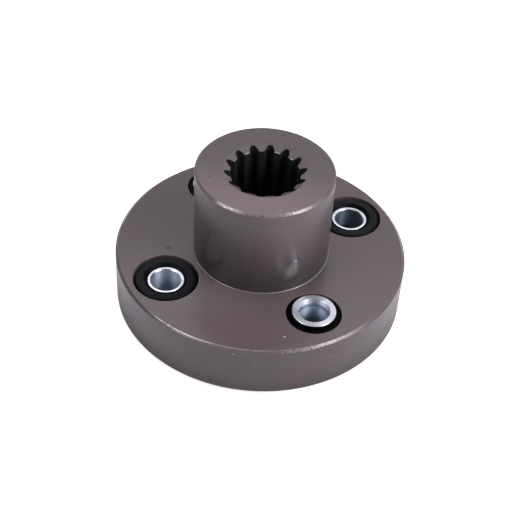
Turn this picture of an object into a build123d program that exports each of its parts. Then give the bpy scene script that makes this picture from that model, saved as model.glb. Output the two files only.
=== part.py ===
from build123d import *
from math import acos, cos, pi, radians, sin, tan
import os

# Shaft coupling: a round flange and a splined hub turned from one forging, with four conical
# rubber-metal bushes for the bolts. Millimetres and degrees, +Z up. The origin is on the coupling's
# axis, at the level of the two collars that stand proud of the rear face, on which it rests.

# Hub and flange
HUB_DIAMETER = 55.0
HUB_LENGTH = 40.0  # from the flange's front face to the hub's front face
FLANGE_THICKNESS = 22.5
HUB_WEB = 2.25  # flat left between the hub and the wide mouth of a bush hole
FLANGE_RIM = 3.25  # wall between a bush hole and the flange's edge
HUB_CHAMFER = 0.8
FOOT_FILLET = 0.5
FRONT_CHAMFER = 0.85  # on the flange's front edge
REAR_CHAMFER = 0.5  # on the flange's rear edge

# Internal involute spline, through the hub and the flange, with a flat root side fit
SPLINE_TEETH = 14
DIAMETRAL_PITCH = 12  # teeth for each inch of pitch diameter
PRESSURE_ANGLE = 30.0
MAJOR_ALLOWANCE = 1.35  # the root circle is this many pitches larger than the pitch circle
FORM_CLEARANCE = 0.05  # the flank is a true involute to this far beyond the shaft's tooth tips
SPACE_ANGLE = 85.0  # direction of one tooth space, anticlockwise from +X
LEAD_IN = 0.55  # the entry chamfer starts this far outside the root circle
LEAD_IN_ANGLE = 32.0  # between the entry chamfer and the hub's face
FLANK_POINTS = 6

# Bushes: the bolt's bore is the start of a chain of walls, out to the tapered hole
BUSH_NAMES = ("left", "front", "right", "rear")
FIRST_BUSH_ANGLE = 211.1  # direction of the left bush, anticlockwise from +X
SLEEVE_BORE = 12.0
SLEEVE_WALL = 1.25
SLEEVE_INSET = 1.1  # each end of a sleeve lies this far below the flange's face
SLEEVE_EDGE = 0.2  # chamfer on a sleeve's outer edges
MOUTH_FLARE = 0.2  # a sleeve's bore widens by this at each end
MOUTH_DEPTH = 1.5
COLLAR_LEDGE = 1.5  # a collar overhangs its sleeve by this, all round
COLLAR_PROUD = 1.5  # a collar stands this far out of the flange's face
COLLAR_BORE_CLEARANCE = 0.2  # a collar's bore is wider than its sleeve's by this, all round
COLLAR_EDGE = 0.35  # chamfer on a collar's outer edges
COLLAR_BORE_EDGE = 0.15
SEAT_CLEARANCE = 0.15  # between a collar and the wall of its seat in the rubber
COLLAR_GAP = 2.05  # between a collar and the narrow mouth of its hole
HOLE_TAPER = 5.6  # angle between a hole's wall and its axis
HOLE_EDGE = 0.3  # chamfer on both mouths of a hole
RUBBER_INSET = 0.15  # a rubber's end faces lie this far below the flange's faces
RUBBER_ROUNDING = 0.9  # on a rubber's outer edges
ROUNDING_LIMIT = 0.8  # the most of the rubber's end face that the rounding may take
DIP_BELOW_SLEEVE = 0.25  # the dip round the sleeve's open end goes this far below that end
DIP_SLOPE = 0.9  # the dip's wall slopes inwards by this

INCH = 25.4
QUARTER_TURN = 90.0
OVERSHOOT = 1.0  # how far a cutting tool runs past the face that it cuts

# Heights
REAR_FACE = COLLAR_PROUD
FRONT_FACE = REAR_FACE + FLANGE_THICKNESS
HUB_FACE = FRONT_FACE + HUB_LENGTH

# Radii, from the bolt outwards
sleeve_radius = SLEEVE_BORE / 2 + SLEEVE_WALL
collar_radius = sleeve_radius + COLLAR_LEDGE
seat_radius = collar_radius + SEAT_CLEARANCE
narrow_radius = collar_radius + COLLAR_GAP
wide_radius = narrow_radius + FLANGE_THICKNESS * tan(radians(HOLE_TAPER))
hub_radius = HUB_DIAMETER / 2
bolt_circle_radius = hub_radius + HUB_WEB + wide_radius
flange_radius = bolt_circle_radius + wide_radius + FLANGE_RIM

# Spline circles
pitch_radius = SPLINE_TEETH / DIAMETRAL_PITCH * INCH / 2
base_radius = pitch_radius * cos(radians(PRESSURE_ANGLE))
minor_radius = (SPLINE_TEETH - 1) / DIAMETRAL_PITCH * INCH / 2
form_radius = (SPLINE_TEETH + 1) / DIAMETRAL_PITCH * INCH / 2 + FORM_CLEARANCE
major_radius = (SPLINE_TEETH + MAJOR_ALLOWANCE) / DIAMETRAL_PITCH * INCH / 2
lead_in_radius = major_radius + LEAD_IN


def profile_of(outline):
    """A face in the XZ plane from points of (radius, height)."""
    return Plane.XZ * make_face(Polyline(*outline, close=True))


def rounded(profile, corner, radius):
    """The profile with the corner at (radius, height) rounded."""
    nearest = profile.vertices().sort_by_distance((corner[0], 0, corner[1]))[0]
    return fillet(nearest, radius)


def turned(profile):
    return revolve(profile, Axis.Z)


def hub_and_flange_blank():
    """The turned body before its holes are cut."""
    foot = (hub_radius, FRONT_FACE)
    profile = profile_of(
        [
            (0, REAR_FACE),
            (flange_radius - REAR_CHAMFER, REAR_FACE),
            (flange_radius, REAR_FACE + REAR_CHAMFER),
            (flange_radius, FRONT_FACE - FRONT_CHAMFER),
            (flange_radius - FRONT_CHAMFER, FRONT_FACE),
            foot,
            (hub_radius, HUB_FACE - HUB_CHAMFER),
            (hub_radius - HUB_CHAMFER, HUB_FACE),
            (0, HUB_FACE),
        ]
    )
    return turned(rounded(profile, foot, FOOT_FILLET))


def involute(angle):
    return tan(angle) - angle


def half_space_angle(radius):
    """Half the angle that a tooth space takes up at a radius: it narrows outwards along the involute."""
    at_pitch = pi / (2 * SPLINE_TEETH) + involute(radians(PRESSURE_ANGLE))
    return at_pitch - involute(acos(base_radius / radius))


def polar(radius, angle):
    return (radius * cos(angle), radius * sin(angle))


def flank(middle, side):
    """One flank of the space at an angle, from the tooth tip out to the root. side is -1 or 1."""
    step = (form_radius - minor_radius) / (FLANK_POINTS - 1)
    at = [minor_radius + step * i for i in range(FLANK_POINTS)]
    return Spline(*[polar(r, middle + side * half_space_angle(r)) for r in at])


def spline_outline():
    """The closed outline of the spline's bore: flank, root, flank and tooth tip for each space."""
    pitch_angle = 2 * pi / SPLINE_TEETH
    edges = []
    for tooth in range(SPLINE_TEETH):
        middle = radians(SPACE_ANGLE) + tooth * pitch_angle
        following = middle + pitch_angle
        at_form = half_space_angle(form_radius)
        at_tip = half_space_angle(minor_radius)
        edges.append(flank(middle, -1))
        edges.append(
            ThreePointArc(
                polar(form_radius, middle - at_form),
                polar(major_radius, middle),
                polar(form_radius, middle + at_form),
            )
        )
        edges.append(flank(middle, 1))
        edges.append(
            ThreePointArc(
                polar(minor_radius, middle + at_tip),
                polar(minor_radius, middle + pitch_angle / 2),
                polar(minor_radius, following - at_tip),
            )
        )
    return make_face(edges)


def spline_bore():
    """The tool that cuts the spline, with the entry chamfers at both ends."""
    length = HUB_FACE - REAR_FACE
    bore = Pos(0, 0, REAR_FACE - OVERSHOOT) * extrude(
        spline_outline(), length + 2 * OVERSHOOT, dir=(0, 0, 1)
    )
    slope = tan(radians(LEAD_IN_ANGLE))
    mouth = turned(
        profile_of(
            [
                (0, -lead_in_radius * slope),
                (lead_in_radius + OVERSHOOT / slope, OVERSHOOT),
                (0, OVERSHOOT),
            ]
        )
    )
    front = Pos(0, 0, HUB_FACE) * mouth
    rear = Pos(0, 0, REAR_FACE) * Rot(180, 0, 0) * mouth
    return bore + front + rear


def hole_radius(height):
    """Radius of a bush hole at a height above its narrow mouth."""
    return narrow_radius + height * tan(radians(HOLE_TAPER))


def bush_hole():
    """The tool for a tapered hole, with its narrow mouth at height 0 and its wide mouth above."""
    top = FLANGE_THICKNESS
    return turned(
        profile_of(
            [
                (0, -OVERSHOOT),
                (hole_radius(0) + HOLE_EDGE + OVERSHOOT, -OVERSHOOT),
                (hole_radius(HOLE_EDGE), HOLE_EDGE),
                (hole_radius(top - HOLE_EDGE), top - HOLE_EDGE),
                (hole_radius(top) + HOLE_EDGE + OVERSHOOT, top + OVERSHOOT),
                (0, top + OVERSHOOT),
            ]
        )
    )


def bush_rubber():
    """The conical rubber: a seat for the collar at the narrow end, a dip round the sleeve at the wide end."""
    bottom = RUBBER_INSET
    top = FLANGE_THICKNESS - RUBBER_INSET
    dip_floor = FLANGE_THICKNESS - SLEEVE_INSET - DIP_BELOW_SLEEVE
    narrow_corner = (hole_radius(bottom), bottom)
    wide_corner = (hole_radius(top), top)
    dip_radius = max(seat_radius - DIP_SLOPE, sleeve_radius + DIP_BELOW_SLEEVE)
    profile = profile_of(
        [
            (sleeve_radius, SLEEVE_INSET),
            (seat_radius, SLEEVE_INSET),
            (seat_radius, bottom),
            narrow_corner,
            wide_corner,
            (seat_radius, top),
            (dip_radius, dip_floor),
            (sleeve_radius, dip_floor),
        ]
    )
    land = hole_radius(bottom) - seat_radius
    rounding = min(RUBBER_ROUNDING, ROUNDING_LIMIT * land)
    profile = rounded(profile, narrow_corner, rounding)
    return turned(rounded(profile, wide_corner, rounding))


def sleeve():
    """The steel tube in the rubber: its bore widens a little at both ends."""
    bore = SLEEVE_BORE / 2
    bottom = SLEEVE_INSET
    top = FLANGE_THICKNESS - SLEEVE_INSET
    return turned(
        profile_of(
            [
                (bore + MOUTH_FLARE, bottom),
                (sleeve_radius - SLEEVE_EDGE, bottom),
                (sleeve_radius, bottom + SLEEVE_EDGE),
                (sleeve_radius, top - SLEEVE_EDGE),
                (sleeve_radius - SLEEVE_EDGE, top),
                (bore + MOUTH_FLARE, top),
                (bore, top - MOUTH_DEPTH),
                (bore, bottom + MOUTH_DEPTH),
            ]
        )
    )


def collar():
    """The thick ring on the sleeve's end, proud of the flange at the narrow end of the bush."""
    bore = SLEEVE_BORE / 2 + COLLAR_BORE_CLEARANCE
    outer_face = -COLLAR_PROUD
    inner_face = SLEEVE_INSET
    return turned(
        profile_of(
            [
                (bore + COLLAR_BORE_EDGE, outer_face),
                (collar_radius - COLLAR_EDGE, outer_face),
                (collar_radius, outer_face + COLLAR_EDGE),
                (collar_radius, inner_face - COLLAR_EDGE),
                (collar_radius - COLLAR_EDGE, inner_face),
                (bore + COLLAR_BORE_EDGE, inner_face),
                (bore, inner_face - COLLAR_BORE_EDGE),
                (bore, outer_face + COLLAR_BORE_EDGE),
            ]
        )
    )


def in_hole(index, shape):
    """Puts a bush piece in its hole. Every second bush is turned over, so its collar is on the hub's side."""
    turn = FIRST_BUSH_ANGLE + index * QUARTER_TURN
    place = Rot(0, 0, turn) * Pos(bolt_circle_radius, 0, REAR_FACE)
    if index % 2:
        place = place * Pos(0, 0, FLANGE_THICKNESS) * Rot(180, 0, 0)
    return place * shape


def hub_flange():
    body = hub_and_flange_blank() - spline_bore()
    for index in range(len(BUSH_NAMES)):
        body -= in_hole(index, bush_hole())
    return body


def all_pieces():
    """Every sub-part by its name."""
    pieces = {"hub_flange": hub_flange()}
    for index, name in enumerate(BUSH_NAMES):
        pieces[f"bush_rubber_{name}"] = in_hole(index, bush_rubber())
        pieces[f"sleeve_{name}"] = in_hole(index, sleeve())
        pieces[f"collar_{name}"] = in_hole(index, collar())
    return pieces


os.makedirs("parts", exist_ok=True)
for node, shape in all_pieces().items():
    export_step(shape, f"parts/{node}.step")
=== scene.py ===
import bpy
from math import acos, cos, pi, radians, sin, tan
from mathutils import Matrix, Vector


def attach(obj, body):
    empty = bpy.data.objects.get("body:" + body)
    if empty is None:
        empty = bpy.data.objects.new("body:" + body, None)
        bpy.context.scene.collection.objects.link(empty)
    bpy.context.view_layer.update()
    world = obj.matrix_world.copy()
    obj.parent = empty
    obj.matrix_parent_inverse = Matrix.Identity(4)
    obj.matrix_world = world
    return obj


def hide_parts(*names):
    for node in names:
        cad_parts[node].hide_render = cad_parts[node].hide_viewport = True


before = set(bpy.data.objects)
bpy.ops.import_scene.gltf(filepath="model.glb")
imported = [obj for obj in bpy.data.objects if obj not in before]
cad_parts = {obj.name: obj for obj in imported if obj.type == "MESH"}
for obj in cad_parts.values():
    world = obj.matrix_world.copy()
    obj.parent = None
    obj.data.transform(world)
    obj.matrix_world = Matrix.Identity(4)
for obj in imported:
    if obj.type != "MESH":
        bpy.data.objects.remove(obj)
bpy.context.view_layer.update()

# The looks of the shaft coupling. Each piece is turned again here with a finer mesh than the packed
# one, on the same sizes, with the small roundings that catch the light. Sizes are in millimetres and
# degrees, and meshes in metres. +X is to the right, +Y to the back and +Z up, and the origin is on the
# axis, on the floor.
MM = 0.001

# Hub and flange
FLANGE_RADIUS = 59.012
HUB_RADIUS = 27.5
REAR_FACE = 1.5
FRONT_FACE = 24.0
HUB_FACE = 64.0
HUB_CHAMFER = 0.8
FOOT_FILLET = 0.5
FRONT_CHAMFER = 0.85
REAR_CHAMFER = 0.5
EDGE_ROUNDING = 0.22  # where a chamfer meets a face, left by the paint
CORE_RADIUS = 6.0  # the blank is open here, inside the spline that is cut from it
BODY_SEGMENTS = 720
thickness = FRONT_FACE - REAR_FACE

# Internal involute spline
SPLINE_TEETH = 14
DIAMETRAL_PITCH = 12
PRESSURE_ANGLE = 30.0
MAJOR_ALLOWANCE = 1.35  # the circle of the roots is the pitch circle of this many more teeth
FORM_CLEARANCE = 0.05  # the flanks end this far outside the pitch circle of one more tooth
SPACE_ANGLE = 85.0  # direction of the first space between two teeth
LEAD_IN = 0.55  # the entry chamfers open this far beyond the roots
LEAD_IN_ANGLE = 32.0
INCH = 25.4
FLANK_POINTS = 6
ROOT_STEPS = 4
TIP_STEPS = 4
pitch_radius = SPLINE_TEETH / DIAMETRAL_PITCH * INCH / 2
base_radius = pitch_radius * cos(radians(PRESSURE_ANGLE))
minor_radius = (SPLINE_TEETH - 1) / DIAMETRAL_PITCH * INCH / 2
form_radius = (SPLINE_TEETH + 1) / DIAMETRAL_PITCH * INCH / 2 + FORM_CLEARANCE
major_radius = (SPLINE_TEETH + MAJOR_ALLOWANCE) / DIAMETRAL_PITCH * INCH / 2
lead_in_radius = major_radius + LEAD_IN

# Bushes. Heights in a bush start at the flange's face at its narrow end
BUSH_NAMES = ("left", "front", "right", "rear")
FIRST_BUSH_ANGLE = 211.1
BOLT_CIRCLE_RADIUS = 42.756
BUSH_SEGMENTS = 160

# The holes of the bushes
NARROW_RADIUS = 10.8
HOLE_TAPER = 5.6
HOLE_EDGE = 0.3  # rounding of the two rims
RIM_ANGLES = (0, 22, 45, 67, 90)  # the points of a rim's rounding, from the wall to the face

# Collars
COLLAR_RADIUS = 8.75
COLLAR_BORE_RADIUS = 6.2
COLLAR_PROUD = 1.5
COLLAR_EDGE = 0.35  # bevel of the outer edges
COLLAR_ROUNDING = 0.1
COLLAR_BORE_EDGE = 0.12  # bevel of the bore's edges
COLLAR_BORE_ROUNDING = 0.05

# Sleeves
SLEEVE_RADIUS = 7.25
SLEEVE_BORE_RADIUS = 6.0
SLEEVE_INSET = 1.1  # both ends lie this deep in the flange
SLEEVE_ROUNDING = 0.12
MOUTH_FLARE = 0.2  # the bore is as wide as the collar's where they meet
JOINT_EDGE = 0.12  # tiny bevel where a sleeve meets its collar
JOINT_ROUNDING = 0.04
LIP = 0.32  # bevel inside the open mouth
LIP_OUTER_ROUNDING = 0.06
LIP_INNER_ROUNDING = 0.1
GROOVE_PLACE = 0.85  # fine groove inside the bore, this far from the collar
GROOVE_DEPTH = 0.1
GROOVE_ROUNDING = 0.03

# Rubbers
SEAT_RADIUS = 8.9  # the collar's seat, and the dip round the sleeve's other end
RUBBER_INSET = 0.15  # both ends lie this deep in the flange
WIDE_ROUNDING = 2.0  # the outer edge at the wide end
NARROW_ROUNDING = 1.3  # the outer edge at the narrow end
RUBBER_CLEARANCE = 0.03  # keeps the rubber's mesh off the hole's
EDGE_GAP = 0.35  # the rubber leaves its hole by this at its two mouths
EDGE_GAP_DEPTH = 2.4
EDGE_GAP_ROUNDING = 0.2
SEAT_ROUNDING = 0.1
DIP_BELOW_SLEEVE = 0.5
DIP_SLOPE = 0.9  # the dip is narrower by this at its floor
DIP_EDGE_ROUNDING = 0.3
DIP_FLOOR_ROUNDING = 0.2
RUBBER_ARC_STEPS = 6

ARC_STEPS = 4
OVERSHOOT = 1.0  # a cutting solid passes the faces by this
SMOOTH_BELOW = 31.0  # faces that meet at less than this angle are shaded as one
FLAT_FACE_WEIGHT = 80  # of 100, how strongly large faces keep their flat shading


def rounded(corners, steps=ARC_STEPS):
    """An outline from corners of (radius, height, rounding), each corner rounded by an arc."""
    outline = []
    for index, (radius, height, rounding) in enumerate(corners):
        here = Vector((radius, height))
        if not rounding:
            outline.append(here)
            continue
        before = (Vector(corners[index - 1][:2]) - here).normalized()
        after = (Vector(corners[(index + 1) % len(corners)][:2]) - here).normalized()
        half = before.angle(after) / 2
        centre = here + (before + after).normalized() * rounding / sin(half)
        first = (here + before * rounding / tan(half) - centre).normalized()
        last = (here + after * rounding / tan(half) - centre).normalized()
        for step in range(steps + 1):
            outline.append(centre + first.slerp(last, step / steps) * rounding)
    return outline


def mesh_object(name, points, faces):
    mesh = bpy.data.meshes.new(name)
    mesh.from_pydata([Vector(point) * MM for point in points], [], faces)
    mesh.validate()
    made = bpy.data.objects.new(name, mesh)
    bpy.context.scene.collection.objects.link(made)
    return made


def turned(name, outline, segments):
    """A ring-shaped solid, turned from a closed outline that stays off the axis."""
    points, faces = [], []
    rows = len(outline)
    for segment in range(segments):
        angle = 2 * pi * segment / segments
        for radius, height in outline:
            points.append((radius * cos(angle), radius * sin(angle), height))
    for segment in range(segments):
        here = segment * rows
        following = (segment + 1) % segments * rows
        for row in range(rows):
            beyond = (row + 1) % rows
            faces.append((here + row, following + row, following + beyond, here + beyond))
    return mesh_object(name, points, faces)


def stacked(name, loops):
    """A solid between closed loops of points that lie above each other, with a cap at each end."""
    count = len(loops[0])
    points = [point for loop in loops for point in loop]
    faces = [tuple(reversed(range(count))), tuple(range(len(points) - count, len(points)))]
    for level in range(len(loops) - 1):
        low = level * count
        high = low + count
        for index in range(count):
            beyond = (index + 1) % count
            faces.append((low + index, low + beyond, high + beyond, high + index))
    return mesh_object(name, points, faces)


def circle(radius, height, segments):
    angles = [2 * pi * index / segments for index in range(segments)]
    return [(radius * cos(angle), radius * sin(angle), height) for angle in angles]


def cut(body, tool):
    """Takes the tool away from the body and throws it away."""
    modifier = body.modifiers.new("cut", "BOOLEAN")
    modifier.operation = "DIFFERENCE"
    modifier.solver = "EXACT"
    modifier.object = tool
    bpy.context.view_layer.update()
    result = bpy.data.meshes.new_from_object(body.evaluated_get(bpy.context.evaluated_depsgraph_get()))
    body.modifiers.clear()
    body.data = result
    bpy.data.objects.remove(tool)


def finish_surface(piece):
    """Smooth shading over the turned faces, with flat faces kept flat up to their small roundings."""
    piece.data.shade_smooth()
    piece.data.set_sharp_from_angle(angle=radians(SMOOTH_BELOW))
    weighted = piece.modifiers.new("flat faces", "WEIGHTED_NORMAL")
    weighted.keep_sharp = True
    weighted.weight = FLAT_FACE_WEIGHT


# The spline
def involute(angle):
    return tan(angle) - angle


def half_space_angle(radius):
    at_pitch = pi / (2 * SPLINE_TEETH) + involute(radians(PRESSURE_ANGLE))
    return at_pitch - involute(acos(base_radius / radius))


def spline_loop():
    """The spline's outline as (radius, angle), anticlockwise: flank, root, flank and tooth tip."""
    step = (form_radius - minor_radius) / (FLANK_POINTS - 1)
    flank = [minor_radius + step * index for index in range(FLANK_POINTS)]
    at_form = half_space_angle(form_radius)
    at_tip = half_space_angle(minor_radius)
    tooth = 2 * pi / SPLINE_TEETH
    loop = []
    for space in range(SPLINE_TEETH):
        middle = radians(SPACE_ANGLE) + space * tooth
        loop += [(radius, middle - half_space_angle(radius)) for radius in flank]
        for index in range(1, ROOT_STEPS):
            across = 2 * index / ROOT_STEPS - 1
            crown = form_radius + (major_radius - form_radius) * (1 - across**2)
            loop.append((crown, middle + across * at_form))
        loop += [(radius, middle + half_space_angle(radius)) for radius in reversed(flank)]
        for index in range(1, TIP_STEPS):
            loop.append((minor_radius, middle + at_tip + index / TIP_STEPS * (tooth - 2 * at_tip)))
    return loop


def spline_tool():
    outline = [(radius * cos(angle), radius * sin(angle)) for radius, angle in spline_loop()]
    heights = (REAR_FACE - OVERSHOOT, HUB_FACE + OVERSHOOT)
    return stacked("spline tool", [[(x, y, height) for x, y in outline] for height in heights])


def lead_in_tool(face, outwards):
    """The entry chamfer at a face. outwards is 1 at the hub's face and -1 at the rear face."""
    slope = tan(radians(LEAD_IN_ANGLE))
    inner = CORE_RADIUS / 2
    deep = (inner, face - outwards * (lead_in_radius - inner) * slope)
    wide = (lead_in_radius + OVERSHOOT / slope, face + outwards * OVERSHOOT)
    loops = [circle(radius, height, BODY_SEGMENTS) for radius, height in (deep, wide)]
    return stacked("lead-in tool", loops[::outwards])


# The holes of the bushes
def hole_radius(height):
    """Radius of a bush hole at a height above its narrow mouth."""
    return NARROW_RADIUS + height * tan(radians(HOLE_TAPER))


def bush_place(index):
    """Where a bush sits: its narrow end is down, or up for each second bush, which is turned over."""
    angle = radians(FIRST_BUSH_ANGLE) + index * pi / 2
    x = BOLT_CIRCLE_RADIUS * cos(angle) * MM
    y = BOLT_CIRCLE_RADIUS * sin(angle) * MM
    if index % 2:
        return Matrix.Translation((x, y, FRONT_FACE * MM)) @ Matrix.Rotation(pi, 4, "X")
    return Matrix.Translation((x, y, REAR_FACE * MM))


def hole_tool(index):
    """A tapered hole with a softly rounded rim at both mouths."""
    rim = []
    for angle in RIM_ANGLES:
        rim.append((HOLE_EDGE * (1 - cos(radians(angle))), HOLE_EDGE * (1 - sin(radians(angle)))))
    narrow = hole_radius(0)
    wide = hole_radius(thickness)
    levels = [(narrow + HOLE_EDGE, -OVERSHOOT)]
    levels += [(narrow + out, depth) for out, depth in reversed(rim)]
    levels += [(wide + out, thickness - depth) for out, depth in rim]
    levels.append((wide + HOLE_EDGE, thickness + OVERSHOOT))
    tool = stacked("hole tool", [circle(radius, height, BUSH_SEGMENTS) for radius, height in levels])
    tool.data.transform(bush_place(index))
    return tool


# The pieces
def hub_flange():
    body = turned(
        "hub_flange_body",
        rounded(
            [
                (CORE_RADIUS, REAR_FACE, 0),
                (FLANGE_RADIUS - REAR_CHAMFER, REAR_FACE, EDGE_ROUNDING),
                (FLANGE_RADIUS, REAR_FACE + REAR_CHAMFER, EDGE_ROUNDING),
                (FLANGE_RADIUS, FRONT_FACE - FRONT_CHAMFER, EDGE_ROUNDING),
                (FLANGE_RADIUS - FRONT_CHAMFER, FRONT_FACE, EDGE_ROUNDING),
                (HUB_RADIUS, FRONT_FACE, FOOT_FILLET),
                (HUB_RADIUS, HUB_FACE - HUB_CHAMFER, EDGE_ROUNDING),
                (HUB_RADIUS - HUB_CHAMFER, HUB_FACE, EDGE_ROUNDING),
                (CORE_RADIUS, HUB_FACE, 0),
            ]
        ),
        BODY_SEGMENTS,
    )
    cut(body, spline_tool())
    cut(body, lead_in_tool(HUB_FACE, 1))
    cut(body, lead_in_tool(REAR_FACE, -1))
    for index in range(len(BUSH_NAMES)):
        cut(body, hole_tool(index))
    return body


def rubber(name):
    bottom = RUBBER_INSET
    top = thickness - RUBBER_INSET
    low_gap = EDGE_GAP_DEPTH
    high_gap = thickness - EDGE_GAP_DEPTH
    dip_floor = thickness - SLEEVE_INSET - DIP_BELOW_SLEEVE
    return turned(
        name,
        rounded(
            [
                (SLEEVE_RADIUS, SLEEVE_INSET, 0),
                (SEAT_RADIUS, SLEEVE_INSET, 0),
                (SEAT_RADIUS, bottom, SEAT_ROUNDING),
                (hole_radius(bottom) - EDGE_GAP, bottom, NARROW_ROUNDING),
                (hole_radius(low_gap) - RUBBER_CLEARANCE, low_gap, EDGE_GAP_ROUNDING),
                (hole_radius(high_gap) - RUBBER_CLEARANCE, high_gap, EDGE_GAP_ROUNDING),
                (hole_radius(top) - EDGE_GAP, top, WIDE_ROUNDING),
                (SEAT_RADIUS, top, DIP_EDGE_ROUNDING),
                (SEAT_RADIUS - DIP_SLOPE, dip_floor, DIP_FLOOR_ROUNDING),
                (SLEEVE_RADIUS, dip_floor, 0),
            ],
            RUBBER_ARC_STEPS,
        ),
        BUSH_SEGMENTS,
    )


def sleeve(name):
    bottom = SLEEVE_INSET
    top = thickness - SLEEVE_INSET
    bore = SLEEVE_BORE_RADIUS
    mouth = bore + MOUTH_FLARE
    groove = bottom + GROOVE_PLACE
    return turned(
        name,
        rounded(
            [
                (mouth + JOINT_EDGE, bottom, JOINT_ROUNDING),
                (SLEEVE_RADIUS, bottom, SLEEVE_ROUNDING),
                (SLEEVE_RADIUS, top, SLEEVE_ROUNDING),
                (bore + LIP, top, LIP_OUTER_ROUNDING),
                (bore, top - LIP, LIP_INNER_ROUNDING),
                (bore, groove + GROOVE_DEPTH, GROOVE_ROUNDING),
                (bore + GROOVE_DEPTH, groove, GROOVE_ROUNDING),
                (mouth, groove - GROOVE_DEPTH, GROOVE_ROUNDING),
                (mouth, bottom + JOINT_EDGE, JOINT_ROUNDING),
            ]
        ),
        BUSH_SEGMENTS,
    )


def collar(name):
    bore = COLLAR_BORE_RADIUS
    outer = -COLLAR_PROUD
    inner = SLEEVE_INSET
    return turned(
        name,
        rounded(
            [
                (bore + COLLAR_BORE_EDGE, outer, COLLAR_BORE_ROUNDING),
                (COLLAR_RADIUS - COLLAR_EDGE, outer, COLLAR_ROUNDING),
                (COLLAR_RADIUS, outer + COLLAR_EDGE, COLLAR_ROUNDING),
                (COLLAR_RADIUS, inner - COLLAR_EDGE, COLLAR_ROUNDING),
                (COLLAR_RADIUS - COLLAR_EDGE, inner, COLLAR_ROUNDING),
                (bore + COLLAR_BORE_EDGE, inner, COLLAR_BORE_ROUNDING),
                (bore, inner - COLLAR_BORE_EDGE, COLLAR_BORE_ROUNDING),
                (bore, outer + COLLAR_BORE_EDGE, COLLAR_BORE_ROUNDING),
            ]
        ),
        BUSH_SEGMENTS,
    )


# Materials
class Graph:
    """Makes the nodes of one material or world. A value is a number, a colour or another socket.

    A mask is a value from 0, where it doesn't show, to 1.
    """

    def __init__(self, name="", tree=None):
        if not tree:
            self.material = bpy.data.materials.new(name)
            self.material.use_nodes = True
            tree = self.material.node_tree
        self.tree = tree
        self.tree.nodes.clear()

    def node(self, kind, inputs, **settings):
        """A shader node with its settings, and with each input set or linked."""
        made = self.tree.nodes.new("ShaderNode" + kind)
        for key, value in settings.items():
            setattr(made, key, value)
        for key, value in inputs.items():
            if isinstance(value, bpy.types.NodeSocket):
                self.tree.links.new(value, made.inputs[key])
            else:
                made.inputs[key].default_value = value
        return made

    def locate(self):
        """The object's own coordinates, with the distance from its axis. All are in metres."""
        self.where = self.node("TexCoord", {}).outputs["Object"]
        parts = self.node("SeparateXYZ", {"Vector": self.where}).outputs
        self.right, self.back, self.height = parts["X"], parts["Y"], parts["Z"]
        self.radius = self.length(self.right, self.back)

    def length(self, across, along):
        """Length of a line that reaches this far in two directions at right angles."""
        flat = self.node("CombineXYZ", {"X": across, "Y": along, "Z": 0.0}).outputs[0]
        return self.node("VectorMath", {0: flat}, operation="LENGTH").outputs["Value"]

    def maths(self, operation, *values, clamp=False):
        made = self.node("Math", dict(enumerate(values)), operation=operation, use_clamp=clamp)
        return made.outputs[0]

    def times(self, first, *others):
        """The product of masks and numbers."""
        for other in others:
            first = self.maths("MULTIPLY", first, other)
        return first

    def most(self, first, *others):
        """The strongest of several masks."""
        for other in others:
            first = self.maths("MAXIMUM", first, other)
        return first

    def from_to(self, mask, start, end):
        """A value that is start where the mask is 0 and end where it is 1."""
        return self.maths("MULTIPLY_ADD", mask, end - start, start)

    def within(self, value, limit):
        """1 where a length is under a limit in millimetres, and 0 elsewhere."""
        return self.maths("LESS_THAN", value, limit * MM)

    def away(self, value, level):
        """How far a length is from a level in millimetres, on either side."""
        return self.maths("ABSOLUTE", self.maths("SUBTRACT", value, level * MM))

    def fade(self, value, low, high):
        """0 below low and 1 above high, with a smooth change between them. low may be above high."""
        made = self.node(
            "MapRange",
            {"Value": value, "From Min": low, "From Max": high},
            interpolation_type="SMOOTHSTEP",
        )
        return made.outputs["Result"]

    def span(self, value, low, high):
        """As fade, between two lengths in millimetres."""
        return self.fade(value, low * MM, high * MM)

    def skin(self, value, surface, depths):
        """1 at a surface and 0 deep below it, with a smooth change between two depths."""
        start, full = depths
        return self.span(value, surface - start, surface - full)

    def mix(self, share, first, second):
        """The first colour, covered by a share of the second."""
        inputs = {"Factor": share, "A": first, "B": second}
        return self.node("Mix", inputs, data_type="RGBA").outputs["Result"]

    def noise(self, scale, detail=2.0, roughness=0.5, output="Fac"):
        """Noise with scale cells to the metre."""
        inputs = {"Vector": self.where, "Scale": scale, "Detail": detail, "Roughness": roughness}
        return self.node("TexNoise", inputs).outputs[output]

    def pattern(self, scale, detail, roughness, low, high):
        """Noise as a mask, which fades in between its levels low and high."""
        return self.fade(self.noise(scale, detail, roughness), low, high)

    def bump(self, height, distance, strength=1.0, normal=None):
        """The surface with a bump of up to a distance in millimetres."""
        inputs = {"Height": height, "Distance": distance * MM, "Strength": strength}
        if normal:
            inputs["Normal"] = normal
        return self.node("Bump", inputs).outputs["Normal"]

    def end(self, shader, kind="OutputMaterial"):
        """Links the last shader to the output."""
        self.tree.links.new(shader.outputs[0], self.node(kind, {}).inputs["Surface"])

    def surface(self, inputs):
        """Ends the material in one surface shader, and returns it."""
        self.end(self.node("BsdfPrincipled", inputs))
        return self.material


def grey(level, tint=(1.0, 1.0, 1.0)):
    """A grey, or a tint at the given level."""
    return (*(level * part for part in tint), 1.0)


STRETCH_CORE = 0.4  # a stretch shows in full over this share of its half width


def stretches(graph, places):
    """A mask of stretches round the axis, each given by its direction, half width and strength."""
    direction = graph.maths("ARCTAN2", graph.back, graph.right)
    mask = 0.0
    for middle, reach, strength in places:
        away = graph.maths("ABSOLUTE", graph.maths("SUBTRACT", direction, radians(middle)))
        here = graph.fade(away, radians(reach), radians(reach * STRETCH_CORE))
        mask = graph.most(mask, graph.times(here, strength))
    return mask


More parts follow.
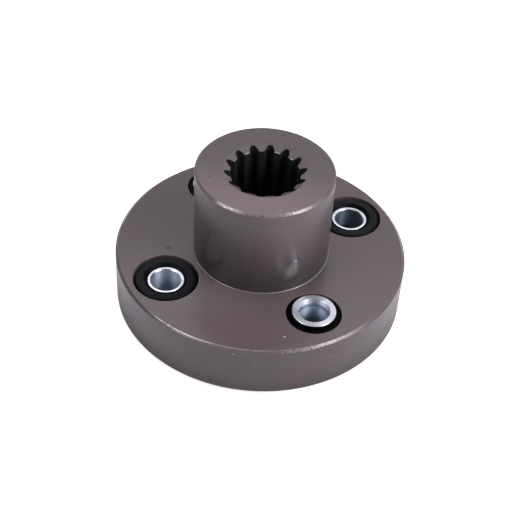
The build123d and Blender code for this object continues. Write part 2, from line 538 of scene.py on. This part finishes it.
# Paint: its colours
TAUPE = (0.113, 0.081, 0.096, 1.0)
OLIVE = (0.107, 0.081, 0.090, 1.0)
HUB_SIDE = (0.118, 0.094, 0.101, 1.0)
HUB_PAINTED_LIGHT = (0.150, 0.120, 0.132, 1.0)
RIM_SIDE_PAINTED_SHADE = (0.084, 0.064, 0.070, 1.0)
INNER_PAINTED_LIGHT = (0.140, 0.108, 0.120, 1.0)
FACE_PAINTED_SHADE = (0.073, 0.053, 0.062, 1.0)
FACE_PAINTED_LIGHT = (0.154, 0.110, 0.131, 1.0)
BLACK = grey(0.0)
SIDE_PAINTED_SHADE = grey(0.02)
EDGE_PAINTED_SHADE = grey(0.01)
PALE_GRAIN = grey(0.20)
BORE_GREY = (0.025, 0.026, 0.022, 1.0)
BORE_BLACK = (0.009, 0.010, 0.007, 1.0)
BARE_STEEL = (0.70, 0.64, 0.68, 1.0)
MARK_LIGHT = (0.75, 0.70, 0.70, 1.0)
MARK_DARK = (0.012, 0.010, 0.010, 1.0)

# Paint: how strongly each of these covers what is under it
HUB_SIDE_SHARE = 0.7
RIM_SIDE_SHARE = 0.85
FOOT_SHADE_SHARE = 0.42
BACK_SHADE_SHARE = 0.17
GRAIN_SHARE = 0.06
EDGE_SHADE_SHARE = 0.6
SPOT_SHARE = 0.55
LINE_SHARE = 0.8
FOOT_LINE_SHARE = 0.30
BURR_SHARE = 0.85

# Paint: stretches round the axis, each with its direction, half width and strength
HUB_WEAR = ((-117, 20, 0.8), (-62, 20, 0.5), (-80, 60, 0.46), (75, 20, 0.8), (150, 12, 0.7))
FLANGE_WEAR = ((-62, 28, 0.6), (-85, 66, 0.26), (58, 20, 0.7), (133, 14, 0.6))
LINE_WEAR = ((-118, 20, 0.7), (-95, 15, 0.3), (20, 25, 0.6), (160, 15, 0.6))
SHADED_EDGE_PLACE = ((-152, 26, 1.0),)
HUB_PAINTED_LIGHT_PLACE = ((-60, 32, 0.85),)
HUB_PAINTED_SHADE_PLACE = ((-148, 42, 0.30),)
BURR_PLACES = ((74, 9, 0.6), (41, 9, 0.8), (123, 8, 0.5), (156, 8, 0.4), (-40, 20, 0.8))

# Paint: each of these starts at the first length in its direction and is full at the second
PALE_HEIGHTS = (30, 44)
DARK_HEIGHTS = (58, 44)
FOOT_HEIGHTS = (50, 26)
BACK_REACH = (-40, 0)
INNER_BACK = (16, -10)
INNER_RIGHT = (26, -12)
INNER_RADII = (54, 34)
FACE_REACH = (8, -24)
FACE_SLANT = 0.12  # the hub's face is painted darker to the right too, by this share of what it does backwards

# Paint: each of these starts at the first depth below its surface and is full at the second
RIM_SKIN = (0.3, 0.1)
TOP_SKIN = (0.3, 0.1)
FACE_SKIN = (0.2, 0.05)
CHAMFER_SKIN = (0.3, 0.05)
HUB_REACH = 0.5  # what is this near the hub's side belongs to the hub

# Paint: noise patterns of scale, detail, roughness, and the two levels that they fade in between
PATCHES = (38.0, 1.0, 0.5, 0.42, 0.60)
GRAIN = (1500.0, 3.0, 0.5, 0.55, 0.75)
SPOTS = (2000.0, 2.0, 0.7, 0.40, 0.58)
LINE_BREAKS = (500.0, 2.0, 0.5, 0.26, 0.50)
BURR_BREAKS = (900.0, 2.0, 0.5, 0.36, 0.50)

# Paint: wear, and the lines of bare metal, with the distances where they start and are full
LEAST_WEAR = 0.08  # all along the chamfers
LINE_REACH = (0.34, 0.2)  # the broken line on the flange's upper edge
LINE_LEAST = 0.07  # how much of that line shows outside its worn stretches
FOOT_LINE = 0.15  # the fillet's middle is this far from the hub's side and the flange's face
FOOT_LINE_REACH = (0.19, 0.11)

# Paint: inside the spline, with depths below the upper entry chamfer
SPLINE_SIDE = 16.9  # the spline and its entry chamfers lie within this radius
BORE_DEPTHS = (0.05, 0.25)
BLACK_DEPTHS = (0.0, 16.0)
BURR_ON_TIP = (0.35, 0.15)  # distance outside the teeth's tips
BURR_TOP = (0.01, 0.04)
BURR_FOOT = (0.50, 0.34)

# Paint: relief and gloss
PEEL = (900.0, 2.0, 0.5)  # the soft waves of sprayed paint
PEEL_DEPTH = 0.005
PITS = (2600.0, 2.0, 0.6)  # fine pits, which show most where the paint is worn
PIT_DEPTH = 0.022
LEAST_PITS = 0.06  # the pits show this much where nothing is worn
CLOUDS = (160.0, 3.0)  # where it is rougher
LEAST_ROUGHNESS = 0.265
MOST_ROUGHNESS = 0.325
FACE_GLOSS = 0.50
EDGE_GLOSS = 0.30

# Small marks: their middle, their reach and how light they are, from -1 to 1. The last three make
# one soft pale patch on the hub's side, a painted reflection of the front collar
MARKS = (
    ((6.3, 22.4, 64.0), 0.95, -1.0),
    ((-21.2, -6.5, 64.0), 0.65, -0.85),
    ((-37.4, -4.5, 24.0), 1.8, -0.75),
    ((-23.0, -30.5, 24.0), 0.75, -0.3),
    ((11.2, -49.9, 24.0), 0.42, 1.0),
    ((0.3, -59.0, 17.0), 0.6, 0.15),
    ((29.3, -51.2, 15.8), 0.8, 0.1),
    ((-7.8, -58.5, 21.6), 0.75, 0.22),
    ((10.1, -25.6, 39.7), 0.4, -0.5),
    ((13.7, -23.8, 39.0), 0.8, 0.45),
    ((13.3, -24.1, 35.6), 3.2, 0.13),
    ((12.8, -24.3, 33.6), 3.8, 0.14),
    ((11.8, -24.8, 31.6), 3.2, 0.06),
)
MARK_CORE = 0.4  # a mark shows in full over this share of its reach
MARK_WOBBLE = 1.0  # the marks' outlines are moved by up to half of this
MARK_WOBBLE_SCALE = 900.0
NOISE_MIDDLE = (0.5, 0.5, 0.5)


def chamfer_mask(graph, rim, face, chamfer):
    """1 on the 45 degree chamfer between a rim and the face above it, and 0 elsewhere."""
    total = graph.maths("ADD", graph.radius, graph.height)
    near = graph.skin(total, rim + face - chamfer, CHAMFER_SKIN)
    return graph.times(near, graph.within(graph.away(graph.height, face), 2 * chamfer))


def ring_distance(graph, ring_radius, ring_height):
    """Distance from a circle round the axis."""
    out = graph.maths("SUBTRACT", graph.radius, ring_radius * MM)
    over = graph.maths("SUBTRACT", graph.height, ring_height * MM)
    return graph.length(out, over)


def marks(graph):
    """The masks of the light marks and of the dark ones."""
    noise = graph.noise(MARK_WOBBLE_SCALE, output="Color")
    wobble = graph.node("VectorMath", {0: noise, 1: NOISE_MIDDLE}, operation="SUBTRACT").outputs[0]
    size = (MARK_WOBBLE * MM,) * 3
    inputs = {0: wobble, 1: size, 2: graph.where}
    moved = graph.node("VectorMath", inputs, operation="MULTIPLY_ADD").outputs[0]
    light, dark = 0.0, 0.0
    for middle, reach, tone in MARKS:
        inputs = {0: moved, 1: Vector(middle) * MM}
        distance = graph.node("VectorMath", inputs, operation="DISTANCE").outputs["Value"]
        seen = graph.times(graph.span(distance, reach, reach * MARK_CORE), abs(tone))
        if tone > 0:
            light = graph.most(light, seen)
        else:
            dark = graph.most(dark, seen)
    return light, dark


def side_tones(graph, colour, on_hub):
    """The sides' tints, with painted light and shade: a darker rim, a pale place, a dark place and a
    dark foot.
    """
    colour = graph.mix(graph.times(on_hub, HUB_SIDE_SHARE), colour, HUB_SIDE)
    # The rim's side is painted darker than the rest of the paint, as shade.
    on_rim = graph.skin(graph.radius, FLANGE_RADIUS, RIM_SKIN)
    colour = graph.mix(graph.times(on_rim, RIM_SIDE_SHARE), colour, RIM_SIDE_PAINTED_SHADE)
    # The pale place on the hub's right side is a painted highlight.
    painted_light_level = graph.span(graph.height, *PALE_HEIGHTS)
    painted_light = graph.times(stretches(graph, HUB_PAINTED_LIGHT_PLACE), on_hub, painted_light_level)
    colour = graph.mix(painted_light, colour, HUB_PAINTED_LIGHT)
    # A dark place low on the hub's left side, and the hub's foot, are painted darker, as shade.
    dark_level = graph.span(graph.height, *DARK_HEIGHTS)
    dark = graph.times(stretches(graph, HUB_PAINTED_SHADE_PLACE), on_hub, dark_level)
    colour = graph.mix(dark, colour, SIDE_PAINTED_SHADE)
    foot = graph.times(graph.span(graph.height, *FOOT_HEIGHTS), on_hub, FOOT_SHADE_SHARE)
    return graph.mix(foot, colour, SIDE_PAINTED_SHADE)


def upper_tones(graph, colour, on_hub):
    """The tones of the upper faces.

    The flange's is paler to the hub's front left and darker at the back. The hub's darkens backwards.
    """
    on_top = graph.skin(graph.height, FRONT_FACE, TOP_SKIN)
    on_top = graph.times(on_top, graph.maths("SUBTRACT", 1.0, on_hub))
    # The flange's face is painted paler to the hub's front left, as light.
    inner = graph.times(
        on_top,
        graph.span(graph.back, *INNER_BACK),
        graph.span(graph.radius, *INNER_RADII),
        graph.span(graph.right, *INNER_RIGHT),
    )
    colour = graph.mix(inner, colour, INNER_PAINTED_LIGHT)
    # The flange's face is painted darker at the back, as shade.
    painted_shade_behind = graph.times(on_top, graph.span(graph.back, *BACK_REACH), BACK_SHADE_SHARE)
    colour = graph.mix(painted_shade_behind, colour, BLACK)
    # The hub's face is painted lighter at the front and darker backwards, as light and shade.
    slanted = graph.maths("MULTIPLY_ADD", graph.right, FACE_SLANT, graph.back)
    face = graph.mix(graph.span(slanted, *FACE_REACH), FACE_PAINTED_SHADE, FACE_PAINTED_LIGHT)
    return graph.mix(graph.skin(graph.height, HUB_FACE, FACE_SKIN), colour, face)


def chamfer_wear(graph, hub_edge, flange_edge):
    """Where the chamfers are worn: strongly in some stretches, and a little all along them."""
    on_hub = graph.times(hub_edge, stretches(graph, HUB_WEAR))
    on_flange = graph.times(flange_edge, stretches(graph, FLANGE_WEAR))
    least = graph.times(graph.most(hub_edge, flange_edge), LEAST_WEAR)
    return graph.most(on_hub, on_flange, least)


def bare_lines(graph):
    """Thin lines of bare metal: a broken one on the flange's upper edge, and a painted highlight at
    the hub's foot.
    """
    edge = ring_distance(graph, FLANGE_RADIUS - FRONT_CHAMFER, FRONT_FACE)
    strength = graph.from_to(stretches(graph, LINE_WEAR), LINE_LEAST, 1.0)
    line = graph.times(graph.span(edge, *LINE_REACH), strength)
    line = graph.times(line, graph.pattern(*LINE_BREAKS), LINE_SHARE)
    foot = ring_distance(graph, HUB_RADIUS + FOOT_LINE, FRONT_FACE + FOOT_LINE)
    foot_line = graph.times(graph.span(foot, *FOOT_LINE_REACH), FOOT_LINE_SHARE)
    return graph.most(line, foot_line)


def spline_depth(graph):
    """Depth below the cone of the upper entry chamfer."""
    slope = tan(radians(LEAD_IN_ANGLE))
    inwards = graph.maths("SUBTRACT", lead_in_radius * MM, graph.radius)
    cone = graph.maths("SUBTRACT", HUB_FACE * MM, graph.times(inwards, slope))
    return graph.maths("SUBTRACT", cone, graph.height)


def burr(graph, depth, inside):
    """A fine bright burr where the entry chamfer meets the teeth, broken up along its way."""
    start, full = BURR_ON_TIP
    tip = graph.span(graph.radius, minor_radius + start, minor_radius + full)
    on_cone = graph.times(tip, graph.span(depth, *reversed(BURR_TOP)))
    wall = graph.times(graph.span(depth, *BURR_TOP), graph.span(depth, *BURR_FOOT))
    places = graph.times(graph.pattern(*BURR_BREAKS), stretches(graph, BURR_PLACES), inside)
    return graph.times(graph.most(on_cone, wall), places, BURR_SHARE)


def flange_paint():
    graph = Graph("flange_paint_semi_gloss")
    graph.locate()
    on_hub = graph.within(graph.radius, HUB_RADIUS + HUB_REACH)
    hub_edge = chamfer_mask(graph, HUB_RADIUS, HUB_FACE, HUB_CHAMFER)
    flange_edge = chamfer_mask(graph, FLANGE_RADIUS, FRONT_FACE, FRONT_CHAMFER)
    worn = chamfer_wear(graph, hub_edge, flange_edge)
    colour = graph.mix(graph.pattern(*PATCHES), TAUPE, OLIVE)
    colour = side_tones(graph, colour, on_hub)
    colour = upper_tones(graph, colour, on_hub)
    colour = graph.mix(graph.times(graph.pattern(*GRAIN), GRAIN_SHARE), colour, PALE_GRAIN)
    # A stretch of the flange's chamfer at the left front is painted dark, as shade.
    edge_shade = graph.times(flange_edge, stretches(graph, SHADED_EDGE_PLACE), EDGE_SHADE_SHARE)
    colour = graph.mix(edge_shade, colour, EDGE_PAINTED_SHADE)
    # The spline's walls are bare and dark with oil, from just below the entry chamfers
    depth = spline_depth(graph)
    inside = graph.within(graph.radius, SPLINE_SIDE)
    # Deeper down the walls are painted darker still, as shade.
    oily_and_shade = graph.mix(graph.span(depth, *BLACK_DEPTHS), BORE_GREY, BORE_BLACK)
    colour = graph.mix(graph.times(graph.span(depth, *BORE_DEPTHS), inside), colour, oily_and_shade)
    # Worn paint is thin and speckled with bare metal
    spots = graph.times(worn, graph.pattern(*SPOTS), SPOT_SHARE)
    bare = graph.most(spots, bare_lines(graph), burr(graph, depth, inside))
    colour = graph.mix(bare, colour, BARE_STEEL)
    light, dark = marks(graph)
    colour = graph.mix(dark, graph.mix(light, colour, MARK_LIGHT), MARK_DARK)
    peel = graph.bump(graph.noise(*PEEL), PEEL_DEPTH)
    pits = graph.from_to(worn, LEAST_PITS, 1.0)
    unworn_edges = graph.maths("SUBTRACT", graph.most(hub_edge, flange_edge), worn, clamp=True)
    return graph.surface(
        {
            "Base Color": colour,
            "Metallic": bare,
            "Roughness": graph.from_to(graph.noise(*CLOUDS), LEAST_ROUGHNESS, MOST_ROUGHNESS),
            "Normal": graph.bump(graph.noise(*PITS), PIT_DEPTH, pits, peel),
            "Specular IOR Level": graph.from_to(unworn_edges, FACE_GLOSS, EDGE_GLOSS),
        }
    )


# Rubber: its colours
RUBBER_DARK = (0.0020, 0.0021, 0.0024, 1.0)
RUBBER_LIGHT = (0.0032, 0.0034, 0.0040, 1.0)
RUBBER_PAINTED_SHADE = (0.0010, 0.0011, 0.0010, 1.0)
DUST_TINT = (0.74, 0.82, 1.0, 1.0)

# Rubber: where it is painted in shade, from the first height or radius on and in full from the second
NARROW_END_HEIGHTS = (3.0, 2.0)
DIP_RADII = (8.2, 7.8)
RIM_RADII = (11.75, 12.15)

# Rubber: mottling, relief and gloss
MOTTLE = (260.0, 3.0)
RUBBER_PITS = (2600.0, 2.0)
RUBBER_PIT_DEPTH = 0.004
RUBBER_CLOUDS = (420.0, 2.0)
LEAST_RUBBER_ROUGHNESS = 0.46
MOST_RUBBER_ROUGHNESS = 0.58
DUSTY_GLOSS = 0.14
SHADED_GLOSS = 0.03


def bush_rubber():
    graph = Graph("bush_rubber_black")
    graph.locate()
    # The ring at the narrow end, the dip round the sleeve and the outer rim are painted darker and
    # made less glossy, as shade
    in_shade = graph.most(
        graph.span(graph.height, *NARROW_END_HEIGHTS),
        graph.span(graph.radius, *DIP_RADII),
        graph.span(graph.radius, *RIM_RADII),
    )
    dusty = graph.mix(graph.noise(*MOTTLE), RUBBER_DARK, RUBBER_LIGHT)
    clouds = graph.noise(*RUBBER_CLOUDS)
    return graph.surface(
        {
            "Base Color": graph.mix(in_shade, dusty, RUBBER_PAINTED_SHADE),
            "Roughness": graph.from_to(clouds, LEAST_RUBBER_ROUGHNESS, MOST_RUBBER_ROUGHNESS),
            "Normal": graph.bump(graph.noise(*RUBBER_PITS), RUBBER_PIT_DEPTH),
            "Specular IOR Level": graph.from_to(in_shade, DUSTY_GLOSS, SHADED_GLOSS),
            "Specular Tint": DUST_TINT,
        }
    )


# Steel: its tints
LAVENDER = (0.88, 0.885, 1.0)
VIOLET = (0.86, 0.85, 1.0)
BLUISH = (0.74, 0.81, 1.0)
TEAL = (0.64, 0.77, 1.0)
DEEP_TEAL = (0.52, 0.76, 1.0)
PALE_TEAL = (0.72, 0.82, 1.0)
STEEL_PAINTED_SHADE = grey(0.12, LAVENDER)
DEEP_BORE = grey(0.05, BLUISH)
OUTER_WALL_SHADE = grey(0.015)

# Steel: where it is dark, mostly as painted shade, and its dark joints
BRIGHT_DEPTH = 3.5  # a bore's wall is painted darker, as shade, from this depth
DARK_DEPTH = 10.0  # to this one
JOINT_REACH = (0.19, 0.09)  # distance from a joint's middle, where its dark line starts and is full
JOINT_SHARE = 0.9
BORE_SIDE = 0.2  # a bore's shade reaches this far outside the wider bore
WALL_SKIN = (0.04, 0.005)
COLLAR_SHADED_EDGE = 0.16  # a collar's bevel is painted as dark as its wall, as shade, over this width
COLLAR_WALL = COLLAR_RADIUS - COLLAR_SHADED_EDGE
COLLAR_SHADE_PLACES = ((-90, 44, 0.48), (30, 50, 0.13), (105, 50, 0.18))

# Steel: its turned marks, its pits, and the clouds that dull it between two levels of their noise
RINGS = {"Scale": 4200.0, "Detail": 3.0, "Roughness": 0.6}
STEEL_PITS = (1900.0, 3.0)
STEEL_PIT_DEPTH = 0.0006
STEEL_CLOUDS = (320.0, 3.0)
DULL_FROM = 0.35
DULL_TO = 0.7
CLOUD_ROUGHNESS = 0.08
ACROSS_MARKS = 0.25  # a quarter turn from the direction of the marks


def steel_shade(graph, darkening):
    """How dark a bore is: painted shade that grows with depth, and fine lines at a sleeve's joint and
    groove.
    """
    from_middle = graph.away(graph.height, thickness / 2)
    deep = graph.span(from_middle, thickness / 2 - BRIGHT_DEPTH, thickness / 2 - DARK_DEPTH)
    shade = graph.times(deep, darkening)
    for joint in (SLEEVE_INSET, SLEEVE_INSET + GROOVE_PLACE):
        line = graph.span(graph.away(graph.height, joint), *JOINT_REACH)
        shade = graph.most(shade, graph.times(line, JOINT_SHARE))
    return graph.times(shade, graph.within(graph.radius, COLLAR_BORE_RADIUS + BORE_SIDE))


def turned_steel(
    name,
    light,
    dull,
    roughness,
    groove,
    spread,
    wall=COLLAR_WALL,
    metallic=1.0,
    darkening=0.72,
    shade_places=(),
):
    """Zinc-plated steel with fine turned marks round its axis, of the given groove depth.

    The marks scatter light across themselves by the given spread: outwards on a face, and up and
    down in a bore. The outer wall, at the given radius, is painted dark, as shade.
    """
    graph = Graph(name)
    graph.locate()
    clouds = graph.noise(*STEEL_CLOUDS)
    colour = graph.mix(graph.fade(clouds, DULL_FROM, DULL_TO), light, dull)
    # Some stretches of a collar are painted darker, as shade.
    if shade_places:
        colour = graph.mix(stretches(graph, shade_places), colour, STEEL_PAINTED_SHADE)
    colour = graph.mix(steel_shade(graph, darkening), colour, DEEP_BORE)
    colour = graph.mix(graph.skin(graph.radius, wall, WALL_SKIN), colour, OUTER_WALL_SHADE)
    along = graph.maths("ADD", graph.radius, graph.height)
    rings = graph.node("TexNoise", {"W": along, **RINGS}, noise_dimensions="1D").outputs["Fac"]
    normal = graph.bump(rings, groove)
    normal = graph.bump(graph.noise(*STEEL_PITS), STEEL_PIT_DEPTH, normal=normal)
    return graph.surface(
        {
            "Base Color": colour,
            "Metallic": metallic,
            "Roughness": graph.maths("MULTIPLY_ADD", clouds, CLOUD_ROUGHNESS, roughness),
            "Normal": normal,
            "Anisotropic": spread,
            "Anisotropic Rotation": ACROSS_MARKS,
            "Tangent": graph.node("Tangent", {}, direction_type="RADIAL", axis="Z").outputs[0],
        }
    )


# Putting the pieces together
BORE_REACH = 0.3  # a face within this of a bore's radius can belong to the bore
BORE_SLOPE = 0.4  # it does if it is turned up or down by less than this
JOINT_HEIGHT = 1.1  # and also if it lies within this of the joint of a sleeve and its collar


def in_bore(face, bore_radius):
    """Whether a face belongs to a bore's wall, or to the joint of a sleeve and its collar."""
    close = Vector(face.center[:2]).length < (bore_radius + BORE_REACH) * MM
    joint = abs(face.center.z - SLEEVE_INSET * MM) < JOINT_HEIGHT * MM
    return close and (abs(face.normal.z) < BORE_SLOPE or joint)


def dress(piece, node, slot, material, bore_material=None, bore_radius=0.0):
    """Gives a piece its material, and another to the wall of its bore."""
    piece.data.materials.clear()
    piece.data.materials.append(material)
    if bore_material:
        piece.data.materials.append(bore_material)
        for face in piece.data.polygons:
            if in_bore(face, bore_radius):
                face.material_index = 1
    finish_surface(piece)
    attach(piece, "root")
    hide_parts(node)


# How light each sleeve's bore is as painted light and shade, its tint, and its painted shade with
# depth
BORE_LOOKS = {
    "left": (0.71, BLUISH, 0.36),
    "front": (0.78, PALE_TEAL, 0.72),
    "right": (0.225, DEEP_TEAL, 0.0),
    "rear": (0.225, DEEP_TEAL, 0.0),
}
DULL_LEVEL = 0.9  # a bore's dull clouds against the rest of it
paint = flange_paint()
black = bush_rubber()
sleeve_steel = turned_steel(
    "sleeve_steel_zinc",
    light=grey(0.82, LAVENDER),
    dull=grey(0.70, VIOLET),
    roughness=0.22,
    groove=0.003,
    spread=0.3,
    wall=SLEEVE_RADIUS,
)
sleeve_bores = {
    name: turned_steel(
        f"sleeve_bore_zinc_{name}",
        light=grey(level, tint),
        dull=grey(DULL_LEVEL * level, TEAL),
        roughness=0.60,
        groove=0.002,
        spread=0.86,
        metallic=0.75,
        darkening=darkening,
    )
    for name, (level, tint, darkening) in BORE_LOOKS.items()
}
collar_steel = turned_steel(
    "collar_steel_zinc",
    light=grey(0.94, LAVENDER),
    dull=grey(0.84, VIOLET),
    roughness=0.36,
    groove=0.003,
    spread=0.75,
    shade_places=COLLAR_SHADE_PLACES,
)
collar_bore = turned_steel(
    "collar_bore_zinc",
    light=grey(0.98, LAVENDER),
    dull=grey(0.88, BLUISH),
    roughness=0.56,
    groove=0.002,
    spread=0.88,
)

dress(hub_flange(), "hub_flange", "flange_paint", paint)
for index, name in enumerate(BUSH_NAMES):
    for kind, make, slot, *looks in (
        ("bush_rubber", rubber, "bush_rubber", black),
        ("sleeve", sleeve, "sleeve_steel", sleeve_steel, sleeve_bores[name], SLEEVE_BORE_RADIUS),
        ("collar", collar, "collar_steel", collar_steel, collar_bore, COLLAR_BORE_RADIUS),
    ):
        piece = make(f"{kind}_{name}_body")
        piece.matrix_world = bush_place(index)
        dress(piece, f"{kind}_{name}", slot, *looks)

# Camera, as found from the photograph
ELEVATION = 42.844
ROLL = 3.635
DISTANCE = 0.486465  # in metres
FOCAL_PIXELS = 1186.8
IMAGE_PIXELS = 520
TARGET_HEIGHT = 22.1
TARGET_RIGHT = 0.519  # the target's place in the image, in pixels from its middle
TARGET_DOWN = -10.55
SENSOR = 36.0
CLIP_START = 0.01  # in metres

elevation = radians(ELEVATION)
roll = radians(ROLL)
ahead = Vector((0, cos(elevation), -sin(elevation)))
level_right = Vector((1, 0, 0))
level_up = Vector((0, sin(elevation), cos(elevation)))
right = level_right * cos(roll) + level_up * sin(roll)
up = level_up * cos(roll) - level_right * sin(roll)
towards = (ahead * FOCAL_PIXELS + right * TARGET_RIGHT - up * TARGET_DOWN).normalized()
camera_data = bpy.data.cameras.new("camera")
camera_data.sensor_width = SENSOR
camera_data.lens = FOCAL_PIXELS / IMAGE_PIXELS * SENSOR
camera_data.clip_start = CLIP_START
camera = bpy.data.objects.new("camera", camera_data)
turn = Matrix((right, up, -ahead)).transposed().to_4x4()
place = Vector((0, 0, TARGET_HEIGHT * MM)) - towards * DISTANCE
camera.matrix_world = Matrix.Translation(place) @ turn
bpy.context.scene.collection.objects.link(camera)
bpy.context.scene.camera = camera

# Studio
LIT_POINT = Vector((0, 0, 0.03))  # in metres, what the lamps and the card are turned to

# Each lamp: its direction and height angle, its distance, width and height in metres, its power in
# watts, and whether gloss shows it
LAMPS = {
    "softbox left": (212, 40, 1.0, 0.36, 0.24, 1.9, True),
    "softbox right": (330, 40, 1.0, 0.36, 0.24, 5.0, True),
    "softbox low right": (350, 30, 0.8, 0.30, 0.30, 0.8, False),
    "softbox overhead": (90, 88, 0.8, 0.80, 0.80, 3.55, False),
    "softbox back": (90, 50.5, 0.57, 0.60, 0.10, 0.2, True),
}

FILL = 0.03  # the world's light on the object, where 1 is white
FLOOR_SIDE = 8000.0
FLOOR_GREY = 0.8
FLOOR_GLOW = 0.8
FLOOR_TINT = (0.93, 0.81, 1.0, 1.0)  # the glow's colour in gloss
REFLECTED_GLOW = 0.72  # gloss shows this share of the glow
UNDER_RADIUS = 48.0  # the floor doesn't glow within this, under the object
NEAR_RADIUS = 70.0  # in gloss its glow is full from here on
CARD_WIDTH = 1120.0
CARD_HEIGHT = 840.0
CARD_DIRECTION = 270
CARD_HEIGHT_ANGLE = 38
CARD_DISTANCE = 0.8  # in metres
CARD_COLOUR = (0.9, 0.95, 1.0, 1.0)
CARD_GLOW = 0.2


def aim(thing, direction, height_angle, distance):
    """Places a lamp or a card around the object, turned towards it."""
    side, rise = radians(direction), radians(height_angle)
    out = Vector((cos(side) * cos(rise), sin(side) * cos(rise), sin(rise)))
    thing.location = LIT_POINT + out * distance
    thing.rotation_euler = out.to_track_quat("Z", "Y").to_euler()


def softbox(name, direction, height_angle, distance, width, height, power, in_gloss):
    data = bpy.data.lights.new(name, "AREA")
    data.shape = "RECTANGLE"
    data.size = width
    data.size_y = height
    data.energy = power
    lamp = bpy.data.objects.new(name, data)
    lamp.visible_glossy = in_gloss
    aim(lamp, direction, height_angle, distance)
    bpy.context.scene.collection.objects.link(lamp)


def flat_sheet(name, width, height):
    across, along = width / 2, height / 2
    corners = [(-across, -along, 0), (across, -along, 0), (across, along, 0), (-across, along, 0)]
    return mesh_object(name, corners, [(0, 1, 2, 3)])


def studio_world():
    """White where the camera, gloss or glass sees it, and a dim grey fill for the rest."""
    world = bpy.data.worlds.new("studio")
    bpy.context.scene.world = world
    world.use_nodes = True
    graph = Graph(tree=world.node_tree)
    path = graph.node("LightPath", {}).outputs
    shown = graph.most(path["Is Camera Ray"], path["Is Glossy Ray"], path["Is Transmission Ray"])
    strength = graph.from_to(shown, FILL, 1.0)
    background = graph.node("Background", {"Color": grey(1.0), "Strength": strength})
    graph.end(background, "OutputWorld")


def studio_floor():
    """A pale floor that reads as white to the camera and keeps the object's shadow."""
    floor = flat_sheet("floor", FLOOR_SIDE, FLOOR_SIDE)
    graph = Graph("floor_white")
    graph.locate()
    path = graph.node("LightPath", {}).outputs
    away = graph.span(graph.radius, FLANGE_RADIUS, NEAR_RADIUS)
    reflected = graph.most(path["Is Glossy Ray"], path["Is Transmission Ray"])
    reflected = graph.times(reflected, away, REFLECTED_GLOW)
    shown = graph.most(path["Is Camera Ray"], reflected)
    open_floor = graph.span(graph.radius, UNDER_RADIUS, FLANGE_RADIUS)
    tint = graph.mix(path["Is Camera Ray"], FLOOR_TINT, grey(1.0))
    strength = graph.times(shown, open_floor, FLOOR_GLOW)
    glow = graph.node("Emission", {"Color": tint, "Strength": strength})
    diffuse = graph.node("BsdfDiffuse", {"Color": grey(FLOOR_GREY)})
    graph.end(graph.node("AddShader", {0: diffuse.outputs[0], 1: glow.outputs[0]}))
    floor.data.materials.append(graph.material)


def dim_card():
    """A dim card behind the camera, which gloss shows and the camera doesn't."""
    card = flat_sheet("card", CARD_WIDTH, CARD_HEIGHT)
    aim(card, CARD_DIRECTION, CARD_HEIGHT_ANGLE, CARD_DISTANCE)
    graph = Graph("card_grey")
    graph.end(graph.node("Emission", {"Color": CARD_COLOUR, "Strength": CARD_GLOW}))
    card.data.materials.append(graph.material)
    card.visible_camera = False
    card.visible_diffuse = False
    card.visible_shadow = False


for name, setting in LAMPS.items():
    softbox(name, *setting)
studio_world()
studio_floor()
dim_card()
bpy.context.scene.view_settings.view_transform = "Standard"
